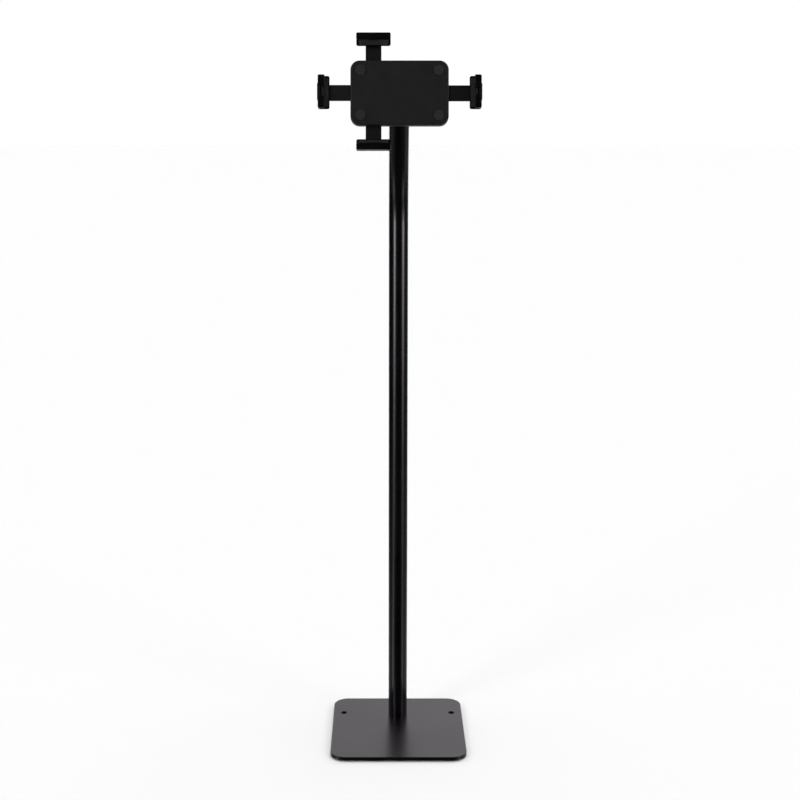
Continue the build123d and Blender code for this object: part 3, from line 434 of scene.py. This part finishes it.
def glow_light(graph, azimuth, z):
    """The floor's glow low down on both sides, which fades again right under the stand."""
    low = graph.remap(z, (height_at(GLOW_TOP_DEG), height_at(GLOW_FULL_DEG)), smooth=True)
    fade_limits = (height_at(GLOW_FADE_DEG), height_at(GLOW_END_DEG))
    fade = graph.remap(z, fade_limits, (1.0, 0.0), smooth=True)
    side_limits = (radians(GLOW_INNER_DEG), radians(GLOW_OUTER_DEG))
    side = graph.remap(graph.size_of(azimuth), side_limits, smooth=True)
    return graph.times(graph.times(graph.times(low, fade), side), GLOW_STRENGTH)


def rim_light(graph, azimuth):
    limits = (radians(RIM_START_DEG), radians(RIM_FULL_DEG))
    return graph.times(graph.remap(azimuth, limits, smooth=True), RIM_STRENGTH)


def panel_light(graph, azimuth, z):
    """The panel behind the stand: a broad face, two brighter sides, a soft top and a dim foot."""
    turned = graph.size_of(azimuth)
    broad_limits = (radians(PANEL_START_DEG), radians(PANEL_FULL_DEG))
    broad = graph.remap(turned, broad_limits, (0.0, PANEL_STRENGTH), smooth=True)
    edge_off = graph.size_of(graph.subtract(turned, radians(PANEL_SIDE_DEG)))
    edge_limits = (0.0, radians(PANEL_SIDE_HALF_DEG))
    edges = graph.remap(edge_off, edge_limits, (PANEL_SIDE_STRENGTH, 0.0), smooth=True)
    top_limits = (height_at(PANEL_FADE_DEG), height_at(PANEL_TOP_DEG))
    under_top = graph.remap(z, top_limits, (1.0, 0.0), smooth=True)
    over_foot = graph.remap(z, (height_at(PANEL_FOOT_DEG), 0.0), (PANEL_FOOT_SHARE, 1.0))
    return graph.times(graph.add(broad, edges), graph.times(under_top, over_foot))


def make_world():
    """A white room that is dark in front of the stand, where two tall soft strips light it."""
    world = bpy.data.worlds.new("studio")
    world.use_nodes = True
    tree = world.node_tree
    tree.nodes.clear()
    graph = Graph(tree)
    split = graph.node("ShaderNodeSeparateXYZ")
    graph.link(graph.node("ShaderNodeTexCoord").outputs["Generated"], split.inputs[0])
    x, y, z = split.outputs
    azimuth = graph.math("ARCTAN2", x, graph.times(y, -1.0))

    light = sky_light(graph, x, y, z)
    level = strip_level(graph, z)
    below = graph.math("MINIMUM", z, 0.0)
    for strip in (
        (STRIP_LEFT_DEG, STRIP_LEFT_LEAN_DEG, STRIP_LEFT_HALF_DEG, STRIP_LEFT_SHARE),
        (STRIP_RIGHT_DEG, STRIP_RIGHT_LEAN_DEG, STRIP_RIGHT_HALF_DEG, STRIP_RIGHT_SHARE),
    ):
        light = graph.add(light, strip_light(graph, azimuth, below, level, *strip))
    light = graph.add(light, glow_light(graph, azimuth, z))
    light = graph.add(light, rim_light(graph, azimuth))
    light = graph.add(light, panel_light(graph, azimuth, z))

    shown = graph.node("ShaderNodeMix", data_type="FLOAT")
    graph.link(graph.node("ShaderNodeLightPath").outputs["Is Camera Ray"], shown.inputs["Factor"])
    graph.link(light, shown.inputs["A"])
    shown.inputs["B"].default_value = BACKDROP_WHITE
    background = graph.node("ShaderNodeBackground")
    background.inputs["Color"].default_value = opaque((1.0, 1.0, 1.0))
    graph.link(shown.outputs["Result"], background.inputs["Strength"])
    output = graph.node("ShaderNodeOutputWorld")
    graph.link(background.outputs["Background"], output.inputs["Surface"])
    bpy.context.scene.world = world


def make_top_light():
    """A wide soft lamp overhead, kept out of the coat's reflections."""
    lamp = bpy.data.lights.new("top_light", "SUN")
    lamp.energy = TOP_LIGHT_STRENGTH
    lamp.angle = radians(TOP_LIGHT_ANGLE_DEG)
    light = bpy.data.objects.new("top_light", lamp)
    light.location = TOP_LIGHT_PLACE
    light.visible_glossy = False
    light.rotation_euler = [radians(turn) for turn in TOP_LIGHT_TURN_DEG]
    bpy.context.scene.collection.objects.link(light)


def make_camera():
    """The camera of the photograph."""
    lens = bpy.data.cameras.new("photo_camera")
    lens.sensor_fit = "HORIZONTAL"
    lens.sensor_width = SENSOR_MM
    lens.lens = FOCAL_PX * SENSOR_MM / IMAGE_SIDE
    lens.shift_x = (IMAGE_SIDE / 2 - PRINCIPAL_X) / IMAGE_SIDE
    lens.shift_y = (PRINCIPAL_Y - IMAGE_SIDE / 2) / IMAGE_SIDE
    lens.clip_end = CAMERA_REACH
    camera = bpy.data.objects.new("photo_camera", lens)
    camera.location = (CAMERA_X, POLE_Y - CAMERA_TO_POLE, CAMERA_HEIGHT)
    camera.rotation_euler = (radians(90.0 - CAMERA_PITCH_DEG), 0.0, 0.0)
    bpy.context.scene.collection.objects.link(camera)
    bpy.context.scene.camera = camera


dress_pieces()
make_floor()
make_world()
make_top_light()
make_camera()

bpy.context.scene.view_settings.view_transform = "Standard"
